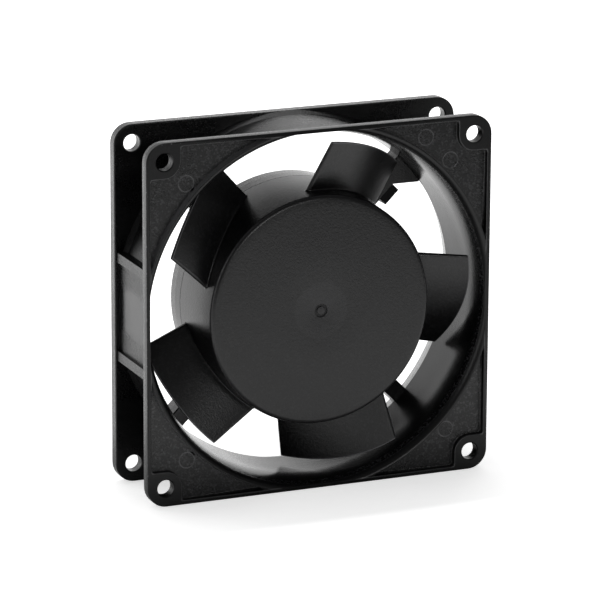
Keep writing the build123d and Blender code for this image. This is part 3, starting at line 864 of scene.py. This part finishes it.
@dataclass(frozen=True)
class Casting:
    """The die-cast frame, with its mouth and bead drawn closer to the photograph.

    A mouth is its width and depth, and a bead its radius at the front and at its foot. The
    first of each pair is the plain solid's. A point that is nearer to them than the reach
    belongs to them, and the slack keeps the ends of each in or out.
    """

    mouth_radius: float = 46.7
    mouths: Spans = ((2.7, 4.5), (2.7, 9.0))
    throat_back: float = 20.4
    throat_radius: float = 43.6
    beads: Spans = ((46.9, 47.6), (46.85, 47.15))
    pocket_depth: float = 1.6
    rim: float = 0.9
    reach: float = 0.03
    slack: float = 0.02
    least: float = 0.02
    paint: BlackPaint = BlackPaint()

    def mouth(self, depth: Points, shape: Span) -> tuple[Points, Points]:
        """Radius of the bore and how fast it grows with depth.

        In words: down to the mouth's depth the radius falls along a quarter of an ellipse
        as wide as the mouth, and behind it evenly to the throat's radius.

        Args:
            depth: Depth below the front.
            shape: The mouth's width and depth.

        Returns:
            Radius, and its slope.
        """
        width, back = shape
        rest = np.clip(1.0 - depth / back, 0.0, 1.0)
        bent = np.sqrt(1.0 - rest**2)
        end = self.mouth_radius - width
        fall = (self.throat_radius - end) / (self.throat_back - back)
        radius = np.where(depth < back, self.mouth_radius - width * bent, end + fall * (depth - back))
        steep = -width * rest / (back * np.maximum(bent, self.least))
        slope = np.where(depth < back, steep, fall)
        return radius, slope

    def bead(self, depth: Points, shape: Span) -> tuple[Points, Points]:
        """Radius of the bead's outside, which grows evenly to its foot, and its slope."""
        slope = (shape[1] - shape[0]) / self.pocket_depth
        return shape[0] + slope * depth, np.full_like(depth, slope)

    def redrawn(self, points: Points, corners: Faces, normals: Points) -> tuple[Points, Points]:
        """Moves the mouth and the bead's outside to their new places.

        In words: a point on either keeps its angle and depth, and its radius is that of the
        new mouth or bead at its depth. At the middle of each side the mouth stops short of
        the outside by the rim, which ends flat at the front.

        Args:
            points: Points of the plain solid.
            corners: Point numbers of its triangles.
            normals: Normals of their corners.

        Returns:
            New points and normals.
        """
        sides = points[:, [0, 2]]
        depth = (points[:, 1] - cad_low.y) / MM
        radius = np.hypot(sides[:, 0], sides[:, 1]) / MM
        out = sides / (radius * MM)[:, None]
        away = normals[:, :, 0] * out[corners, 0] + normals[:, :, 2] * out[corners, 1]
        new, found = radius.copy(), []
        for line, (old_shape, new_shape), last, sign in (
            (self.mouth, self.mouths, self.throat_back - self.slack, -1.0),
            (self.bead, self.beads, self.pocket_depth + self.slack, 1.0),
        ):
            on = np.abs(radius - line(depth, old_shape)[0]) < self.reach
            on &= (depth > -self.slack / 2.0) & (depth < last)
            wanted, slope = line(depth, new_shape)
            new = np.where(on, wanted, new)
            found.append(on)
            face = on[corners].all(axis=1) & (sign * away > self.least).any(axis=1)
            length = sign / np.hypot(1.0, slope)
            skin = np.stack((out[:, 0] * length, -slope * length, out[:, 1] * length), axis=1)
            normals = np.where(face[:, None, None], skin[corners], normals)
        outside = np.abs(sides).max(axis=1) > cad_high.z - self.slack / 2.0 * MM
        limit = np.where(found[0] & ~outside, cad_high.z - self.rim * MM, cad_high.z)[:, None]
        moved = np.clip(sides * (new / radius)[:, None], -limit, limit)
        level = np.where(found[0] & outside, cad_low.y, points[:, 1])
        return np.stack((moved[:, 0], level, moved[:, 1]), axis=1), normals

    def build(self) -> Thing:
        """Makes the casting, a merged copy of the plain solid with mouth and bead redrawn.

        Returns:
            The new piece.
        """
        points, corners, normals = merged(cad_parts["frame_housing"].data)
        points, normals = self.redrawn(points, corners, normals)
        mesh = bpy.data.meshes.new("frame_casting")
        mesh.from_pydata(points.tolist(), [], corners.tolist())
        mesh.shade_smooth()
        mesh.normals_split_custom_set(normals.reshape(-1, 3).tolist())
        piece = in_scene("frame_casting", mesh)
        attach(piece, Body.FRAME.value)
        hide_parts("frame_housing")
        log.info("built %s", piece.name)
        return piece

    def dress(self, piece: Thing) -> None:
        """Paints the casting."""
        piece.data.materials.append(self.paint.material())
        log.info("dressed %s", piece.name)


@dataclass(frozen=True)
class Blade:
    """One blade of the impeller, drawn with its middle along the radius at angle nought.

    Lead, middle and trail are the ends and the middle of the chord, at the root and at the
    tip: how far each is to the leading side, and its depth. Leading is the side that meets
    the air first, near the front. Stations are distances out from the axis.
    """

    stations: Span = (27.6, 40.2)
    first_station: float = 36.0
    lead: Spans = ((12.3, 4.6), (12.2, 2.0))
    middle: Spans = ((0.6, 8.5), (-0.4, 6.8))
    trail: Spans = ((-11.0, 15.7), (-12.9, 16.0))
    thickness: Span = (1.5, 1.1)
    root_fillet: float = 0.35
    edge_rounding: float = 0.18
    rounds: int = 3
    widest: float = 0.9
    chord_steps: int = 40
    edge_steps: int = 9
    span_steps: int = 22
    span_part: Span = (0.12, 0.97)
    fillet_steps: int = 12
    fillet_part: float = 0.09
    tip_steps: int = 7
    tip_part: float = 0.0135

    def section(
        self, station: Points, along: Points, side: Points, swell: Points
    ) -> tuple[Points, Points]:
        """Places on the blade's skin.

        In words: at each station the chord line is the circle through the leading, middle
        and trailing places, which are complex numbers here, offset plus depth times i; the
        skin lies half a thickness to the front or back of it, and a half circle joins the
        two at each end.

        Args:
            station: Distance out from the axis.
            along: Place on the chord, nought at the trailing and one at the leading end.
            side: Angle round the section: plus a quarter turn is the front skin.
            swell: What is added to half the thickness.

        Returns:
            Offset to the leading side, and depth.
        """
        share = (station - self.stations[0]) / (self.stations[1] - self.stations[0])
        half = (self.thickness[0] + share * (self.thickness[1] - self.thickness[0])) / 2.0
        trail, middle, lead = (
            complex(*root) + share * (complex(*tip) - complex(*root)) + 1j * half
            for root, tip in (self.trail, self.middle, self.lead)
        )
        turns = ((trail, middle - lead), (middle, lead - trail), (lead, trail - middle))
        centre = sum(abs(a) ** 2 * chord for a, chord in turns)
        centre = centre / sum(a.conj() * chord for a, chord in turns)
        first, last = np.angle(trail - centre), np.angle(lead - centre)
        sweep = (last - first + math.pi) % (2.0 * math.pi) - math.pi
        out = np.exp(1j * (first + sweep * along))
        front = np.where(out.imag < 0.0, 1.0, -1.0)
        away = np.sin(side) * front * out + np.cos(side) * 1j * out * np.sign(sweep)
        skin = centre + abs(trail - centre) * out + (half + swell) * away
        return skin.real, skin.imag

    def outline(self) -> tuple[Points, Points]:
        """Places round the section: along the front skin, round an end, back and round again.

        Returns:
            Place on the chord, and angle round the section.
        """
        quarter = 0.5 * math.pi
        chord = 0.5 - 0.5 * np.cos(np.linspace(0.0, math.pi, self.chord_steps))
        bend = np.linspace(quarter, -quarter, self.edge_steps)[1:-1]
        along = np.concatenate((chord, np.ones_like(bend), chord[::-1], np.zeros_like(bend)))
        front, back = np.full_like(chord, quarter), np.full_like(chord, -quarter)
        return along, np.concatenate((front, bend, back, bend[::-1] - math.pi))

    def rows(self) -> Points:
        """Places out along the blade, closer together at both ends.

        Returns:
            Array from nought at the root to one at the tip.
        """
        root = np.linspace(0.0, self.fillet_part, self.fillet_steps)
        middle = np.linspace(*self.span_part, self.span_steps)
        bend = np.linspace(0.0, 0.5 * math.pi, self.tip_steps)
        return np.concatenate((root, middle, 1.0 - self.tip_part * (1.0 - np.sin(bend))))

    def surface(self, hub: "Hub", tip_radius: float, turn: float) -> tuple[Points, Faces]:
        """The blade's closed skin, turned to its place.

        In words: the skin is a function of the place round the section and the distance
        out. The inner end lies just inside the hub's wall and the outer end on a cylinder.
        Near the hub, half the thickness grows like a quarter circle, which is the fillet,
        and at the tip it shrinks like one, which is the rounded edge.

        Args:
            hub: The hub that carries the blade.
            tip_radius: Radius of the blade's tip.
            turn: Angle of the blade's middle.

        Returns:
            Points and faces.
        """
        rows = self.rows()
        (along, out), (side, _) = (np.meshgrid(line, rows) for line in self.outline())
        inner = hub.radius - hub.wall / 2.0
        across, deep = self.section(np.full_like(out, self.first_station), along, side, 0.0)
        for _ in range(self.rounds):
            low = np.sqrt(inner**2 - np.minimum(across**2, inner**2 * self.widest))
            high = np.sqrt(tip_radius**2 - across**2)
            station = low + out * (high - low)
            radius = np.hypot(station, across)
            near = np.clip(self.root_fillet - (radius - hub.radius_at(deep)), 0.0, self.root_fillet)
            fillet = self.root_fillet - np.sqrt(self.root_fillet**2 - near**2)
            end = np.clip(self.edge_rounding - (tip_radius - radius), 0.0, self.edge_rounding)
            edge = self.edge_rounding - np.sqrt(self.edge_rounding**2 - end**2)
            across, deep = self.section(station, along, side, fillet - edge)
        angle = turn + np.arctan2(across, station)
        points = placed(np.hypot(station, across), angle, deep).reshape(-1, 3)
        count = along.shape[1]
        faces = grid_faces(len(rows), count)
        half = self.chord_steps
        front = np.arange(half)
        back = 2 * half + self.edge_steps - 3 - front
        cap = np.stack((front[:-1], front[1:], back[1:], back[:-1]), axis=1)
        ends = [cap + row * count for row in (0, len(rows) - 1)]
        return points, np.concatenate((faces, *ends))


@dataclass(frozen=True)
class Hub:
    """The impeller's hub, a cup with its closed face at the front."""

    radius: float = 29.2
    draft: float = 0.8
    depth: float = 19.12
    edge: float = 1.2
    wall: float = 1.2
    face: float = 1.6
    lip: float = 0.6
    gate_ring: float = 1.7
    gate_pin: float = 1.0
    gate_depth: float = 0.35
    gate_rounding: float = 0.06
    back_rounding: float = 0.15
    lip_rounding: float = 0.1
    face_rounding: float = 0.2
    steps: int = 288

    def radius_at(self, depth: Points) -> Points:
        """Outer radius at a depth: it grows evenly by the draft from front to back."""
        return self.radius + self.draft * depth / self.depth

    def surface(self) -> tuple[Points, Faces]:
        """The hub's closed skin, from the middle of its front round to the middle inside.

        Returns:
            Points and faces.
        """
        inside = self.radius - self.wall
        back = self.radius + self.draft
        profile = rounded((
            (0.0, 0.0, 0.0),
            (self.gate_pin, 0.0, self.gate_rounding),
            (self.gate_pin, self.gate_depth, self.gate_rounding),
            (self.gate_ring, self.gate_depth, self.gate_rounding),
            (self.gate_ring, 0.0, self.gate_rounding),
            (self.radius * 0.5, 0.0, 0.0),
            (self.radius * 0.9, 0.0, 0.0),
            (self.radius, 0.0, self.edge),
            (self.radius_at(self.depth * 0.5), self.depth * 0.5, 0.0),
            (back, self.depth, self.back_rounding),
            (inside + self.lip, self.depth, self.lip_rounding),
            (inside, self.depth - self.lip, self.lip_rounding),
            (inside, self.face, self.face_rounding),
            (0.0, self.face, 0.0),
        ))
        return turned(profile, self.steps)


@dataclass(frozen=True)
class Impeller:
    """Hub and five blades, one black moulding."""

    hub: Hub = Hub()
    blade: Blade = Blade()
    blade_count: int = 5
    blade_angle: float = 67.5
    tip_radius: float = 42.1
    sharp_turn: float = 40.0
    plastic: BlackPlastic = BlackPlastic()

    def build(self) -> Thing:
        """Makes the moulding, which stands for the plain solid.

        Returns:
            The new piece.
        """
        places = np.arange(self.blade_count) * 360.0 / self.blade_count
        turns = np.radians(self.blade_angle + places)
        shells = [self.hub.surface()]
        shells += [self.blade.surface(self.hub, self.tip_radius, float(turn)) for turn in turns]
        mesh = closed_mesh("impeller_moulding", shells)
        mesh.set_sharp_from_angle(angle=math.radians(self.sharp_turn))
        piece = in_scene("impeller_moulding", mesh)
        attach(piece, Body.ROTOR.value)
        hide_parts("impeller")
        log.info("built %s", piece.name)
        return piece

    def dress(self, piece: Thing) -> None:
        """Gives the moulding its plastic."""
        piece.data.materials.append(self.plastic.material())
        log.info("dressed %s", piece.name)


@dataclass(frozen=True)
class Motor:
    """What turns the impeller: laminations, cage, cup, coils and their end pieces."""

    poles: int = 4

    def dress(self) -> None:
        """Gives the motor's pieces their metals and insulators."""
        numbers = range(1, self.poles + 1)
        stack = Metal("laminations", (0.20, 0.20, 0.21), 0.48, Grain.STACKED, 0.2, 0.05)
        wire = Metal("enamelled_copper", (0.55, 0.20, 0.08), 0.3, Grain.WOUND, 0.3, 0.02)
        ring = Metal("bare_copper", (0.62, 0.29, 0.16), 0.32, Grain.ROLLED)
        bobbin = Dielectric("bobbin_plastic", (0.50, 0.42, 0.27), (0.38, 0.31, 0.19), 0.55)
        paper = Dielectric("insulating_paper", (0.60, 0.52, 0.38), (0.50, 0.42, 0.29), 0.8)
        dress(Metal("zinc_plated_sheet", (0.42, 0.42, 0.43), 0.38, Grain.ROLLED), "rotor_cup")
        dress(stack, "rotor_core", "stator_core")
        dress(Metal("cast_aluminium", (0.60, 0.60, 0.61), 0.5, Grain.ROLLED, 0.6, 0.03), "squirrel_cage")
        dress(wire, *(f"coil_{number}" for number in numbers))
        dress(ring, *(f"shading_ring_{number}" for number in numbers))
        dress(bobbin, "front_insulator", "rear_insulator")
        dress(paper, "base_insulator")


@dataclass(frozen=True)
class Bearings:
    """The shaft with its bush, two ball bearings, shims, spring, clip and end cap."""

    ends: tuple[str, ...] = ("front", "rear")
    pieces: tuple[str, ...] = ("balls", "inner_ring", "outer_ring", "shields")

    def dress(self) -> None:
        """Gives the bearings and what belongs to them their metals."""
        ground = Metal("ground_steel", (0.60, 0.60, 0.61), 0.16, Grain.TURNED)
        brass = Metal("turned_brass", (0.66, 0.48, 0.20), 0.28, Grain.TURNED)
        spring = Metal("spring_steel", (0.40, 0.40, 0.42), 0.3, Grain.ROLLED)
        dark, light = (0.012, 0.012, 0.013), (0.022, 0.022, 0.023)
        cap = BlackPlastic("cap_plastic", dark, light, roughness=0.5)
        dress(ground, "shaft", *(f"{end}_bearing_{piece}" for end in self.ends for piece in self.pieces))
        dress(brass, "shaft_bush")
        dress(spring, "front_shim", "rear_shim", "retaining_clip", "preload_spring")
        dress(cap, "bearing_cap")


@dataclass(frozen=True)
class Supply:
    """Terminal block, its tabs, the leads and the cover of their channel."""

    def dress(self) -> None:
        """Gives the supply's pieces their finishes."""
        dark, light = (0.004, 0.004, 0.0045), (0.010, 0.010, 0.011)
        plastic = BlackPlastic("terminal_plastic", dark, light, roughness=0.42, shine=0.12)
        tin = Metal("tinned_brass", (0.70, 0.69, 0.66), 0.25, Grain.ROLLED)
        dark, light = (0.022, 0.022, 0.024), (0.030, 0.030, 0.032)
        sleeve = Dielectric("lead_sleeve", light, dark, 0.5, 0.3, 0.004)
        dress(plastic, "terminal_block", "channel_cover")
        dress(tin, "spade_terminal_1", "spade_terminal_2")
        dress(sleeve, "lead_wire_1", "lead_wire_2")


@dataclass(frozen=True)
class Studio:
    """Camera at the photograph's angle, pale floor and soft lights."""

    azimuth: float = -22.930
    elevation: float = 15.355
    roll: float = 0.275
    distance: float = 1037.85
    aim: Place = (-0.312, -0.015, -0.493)
    lens: float = 249.09
    sensor: float = 36.0
    clip: Span = (0.05, 50.0)
    dim: float = 0.12
    floor_radius: float = 6.0
    floor_gap: float = 0.02
    floor_grid: tuple[int, int] = (8, 96)
    tabletop: Tabletop = Tabletop()
    softboxes: tuple[Softbox, ...] = (
        Softbox("top_softbox", (-0.35, 0.75, 1.45), (0.0, 0.0, -1.0), (3.0, 1.4), 1.1),
        Softbox("back_softbox", (0.0, 1.5, 0.36), (0.0, -1.0, 0.0), (3.2, 0.8), 0.9),
        Softbox("front_softbox", (0.10, -1.45, 0.40), (-0.06, 0.96, -0.28), (0.5, 0.22), 6.0),
        Softbox("left_softbox", (-1.3, -0.23, 0.28), (1.0, 0.18, -0.2), (0.2, 0.9), 2.0),
    )

    def camera(self) -> None:
        """Puts the camera where the photograph was taken from."""
        turn, rise, roll = (math.radians(x) for x in (self.azimuth, self.elevation, self.roll))
        back = Vector((
            math.sin(turn) * math.cos(rise), -math.cos(turn) * math.cos(rise), math.sin(rise),
        ))
        level = Vector((math.cos(turn), math.sin(turn), 0.0))
        right = level * math.cos(roll) + back.cross(level) * math.sin(roll)
        eye = Vector(self.aim) * MM + back * self.distance * MM
        data = bpy.data.cameras.new("photo_camera")
        data.lens = self.lens
        data.sensor_width = self.sensor
        data.clip_start, data.clip_end = self.clip
        camera = in_scene("photo_camera", data)
        axes = Matrix((right, back.cross(right), back)).transposed().to_4x4()
        camera.matrix_world = Matrix.Translation(eye) @ axes
        bpy.context.scene.camera = camera

    def floor(self) -> None:
        """Lays a pale round floor under the fan.

        In words: the floor is a disc, a function of the distance out and the angle.
        """
        rings, steps = self.floor_grid
        angle = np.linspace(0.0, 2.0 * math.pi, steps, endpoint=False)[None, :]
        out = np.linspace(0.0, 1.0, rings)[:, None] * self.floor_radius
        height = np.full((rings, steps), cad_low.z - self.floor_gap * MM)
        points = np.stack((out * np.cos(angle), out * np.sin(angle), height), axis=-1)
        mesh = closed_mesh("floor", [(points.reshape(-1, 3), grid_faces(rings, steps))])
        mesh.materials.append(self.tabletop.material())
        floor = in_scene("floor", mesh)

    def surroundings(self) -> None:
        """Makes the pale surroundings, dimmer as a light than the camera sees them."""
        world = bpy.data.worlds.new("surroundings")
        bpy.context.scene.world = world
        graph = Graph("surroundings", world)
        level = graph.add("ShaderNodeLightPath")["Is Camera Ray"].between(self.dim, 1.0)
        white = graph.add("ShaderNodeBackground", None, {"Color": WHITE, "Strength": level})
        graph.add("ShaderNodeOutputWorld", None, {"Surface": white["Background"]})
        bpy.context.scene.view_settings.view_transform = "Standard"

    def build(self) -> None:
        """Makes the camera, the floor, the surroundings and the lights."""
        self.camera()
        self.floor()
        self.surroundings()
        for softbox in self.softboxes:
            softbox.hang()


def main() -> None:
    """Builds and dresses the fan, one sub-assembly after another."""
    logging.basicConfig(level=logging.INFO, format="%(message)s")
    Studio().build()
    casting, impeller = Casting(), Impeller()
    casting.dress(casting.build())
    impeller.dress(impeller.build())
    Motor().dress()
    Bearings().dress()
    Supply().dress()


if __name__ == "__main__":
    main()
